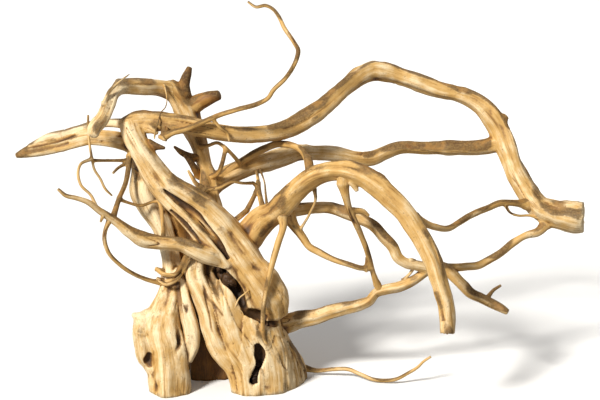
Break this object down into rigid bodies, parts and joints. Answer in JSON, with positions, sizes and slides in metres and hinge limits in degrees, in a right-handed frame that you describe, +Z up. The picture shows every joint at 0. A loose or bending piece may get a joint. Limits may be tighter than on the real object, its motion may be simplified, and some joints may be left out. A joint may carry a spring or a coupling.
{
  "type": "aquarium driftwood",
  "caption": "Gnarled root-wood stump for an aquarium, standing on a flat sawn base, with long curved limbs, sawn ends and thin rootlets.",
  "frame": {"origin": "under the middle of the piece, on the surface that its sawn base stands on", "axes": "+X along the long limbs, away from the left leg; +Y away from the pictured front; +Z up"},
  "size_m": [0.4611, 0.1695, 0.3067],
  "materials": {
    "wood": "dry weathered root wood, cream to golden tan with dark brown bark patches, matte with a faint sheen on worn ridges"
  },
  "bodies": {
    "root": {"driftwood": "wood"}
  },
  "joints": []
}
